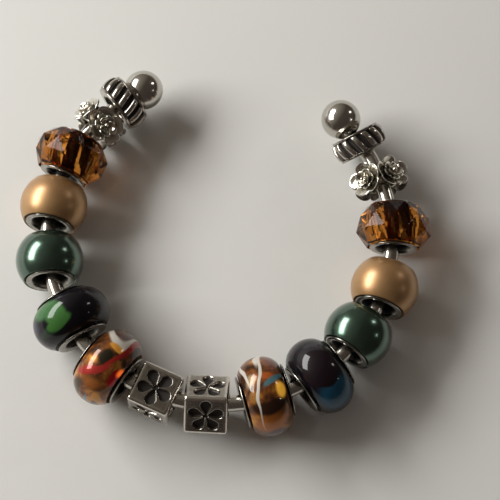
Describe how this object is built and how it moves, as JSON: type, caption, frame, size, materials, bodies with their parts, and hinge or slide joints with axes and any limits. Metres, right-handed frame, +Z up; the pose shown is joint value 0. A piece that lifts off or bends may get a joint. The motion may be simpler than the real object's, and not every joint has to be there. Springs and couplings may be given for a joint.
{
  "type": "charm bracelet",
  "caption": "Open round wire cuff with ball ends, threaded with glass, pearl, rose, ribbed ring and flower cube beads, lying on its side.",
  "frame": {"origin": "under the middle of the bracelet's box, on the surface that it lies on", "axes": "+X across the cuff's opening towards the end with the more widely spaced beads, +Y from the front of the cuff to its opening, +Z up from the surface"},
  "size_m": [0.0738, 0.067, 0.014],
  "materials": {
    "steel": "polished steel of the wire and its ball ends",
    "silver": "antique silver, bright on the high places and dark in the hollows",
    "eyelet": "polished silver sleeves and lips of the glass beads",
    "amber_glass": "cut glass, near black with orange-brown and gold glints",
    "gold_pearl": "satin pearl lustre, golden brown",
    "green_pearl": "pearl lustre, dark green",
    "dark_glass": "polished near-black glass with emerald, teal and maroon patches",
    "foil_glass": "polished glass over copper and gold foil with white stripes"
  },
  "bodies": {
    "root": {"cuff": "steel", "ball_left": "steel", "ball_right": "steel", "ring_left": "silver", "rose_left": "silver", "cube_left": "silver", "amber_left_body": "amber_glass", "amber_left_core": "eyelet", "gold_left_body": "gold_pearl", "gold_left_core": "eyelet", "green_left_body": "green_pearl", "green_left_core": "eyelet", "dark_left_body": "dark_glass", "dark_left_core": "eyelet", "foil_left_body": "foil_glass", "foil_left_core": "eyelet", "ring_right": "silver", "rose_right": "silver", "cube_right": "silver", "amber_right_body": "amber_glass", "amber_right_core": "eyelet", "gold_right_body": "gold_pearl", "gold_right_core": "eyelet", "green_right_body": "green_pearl", "green_right_core": "eyelet", "dark_right_body": "dark_glass", "dark_right_core": "eyelet", "foil_right_body": "foil_glass", "foil_right_core": "eyelet"}
  },
  "joints": []
}
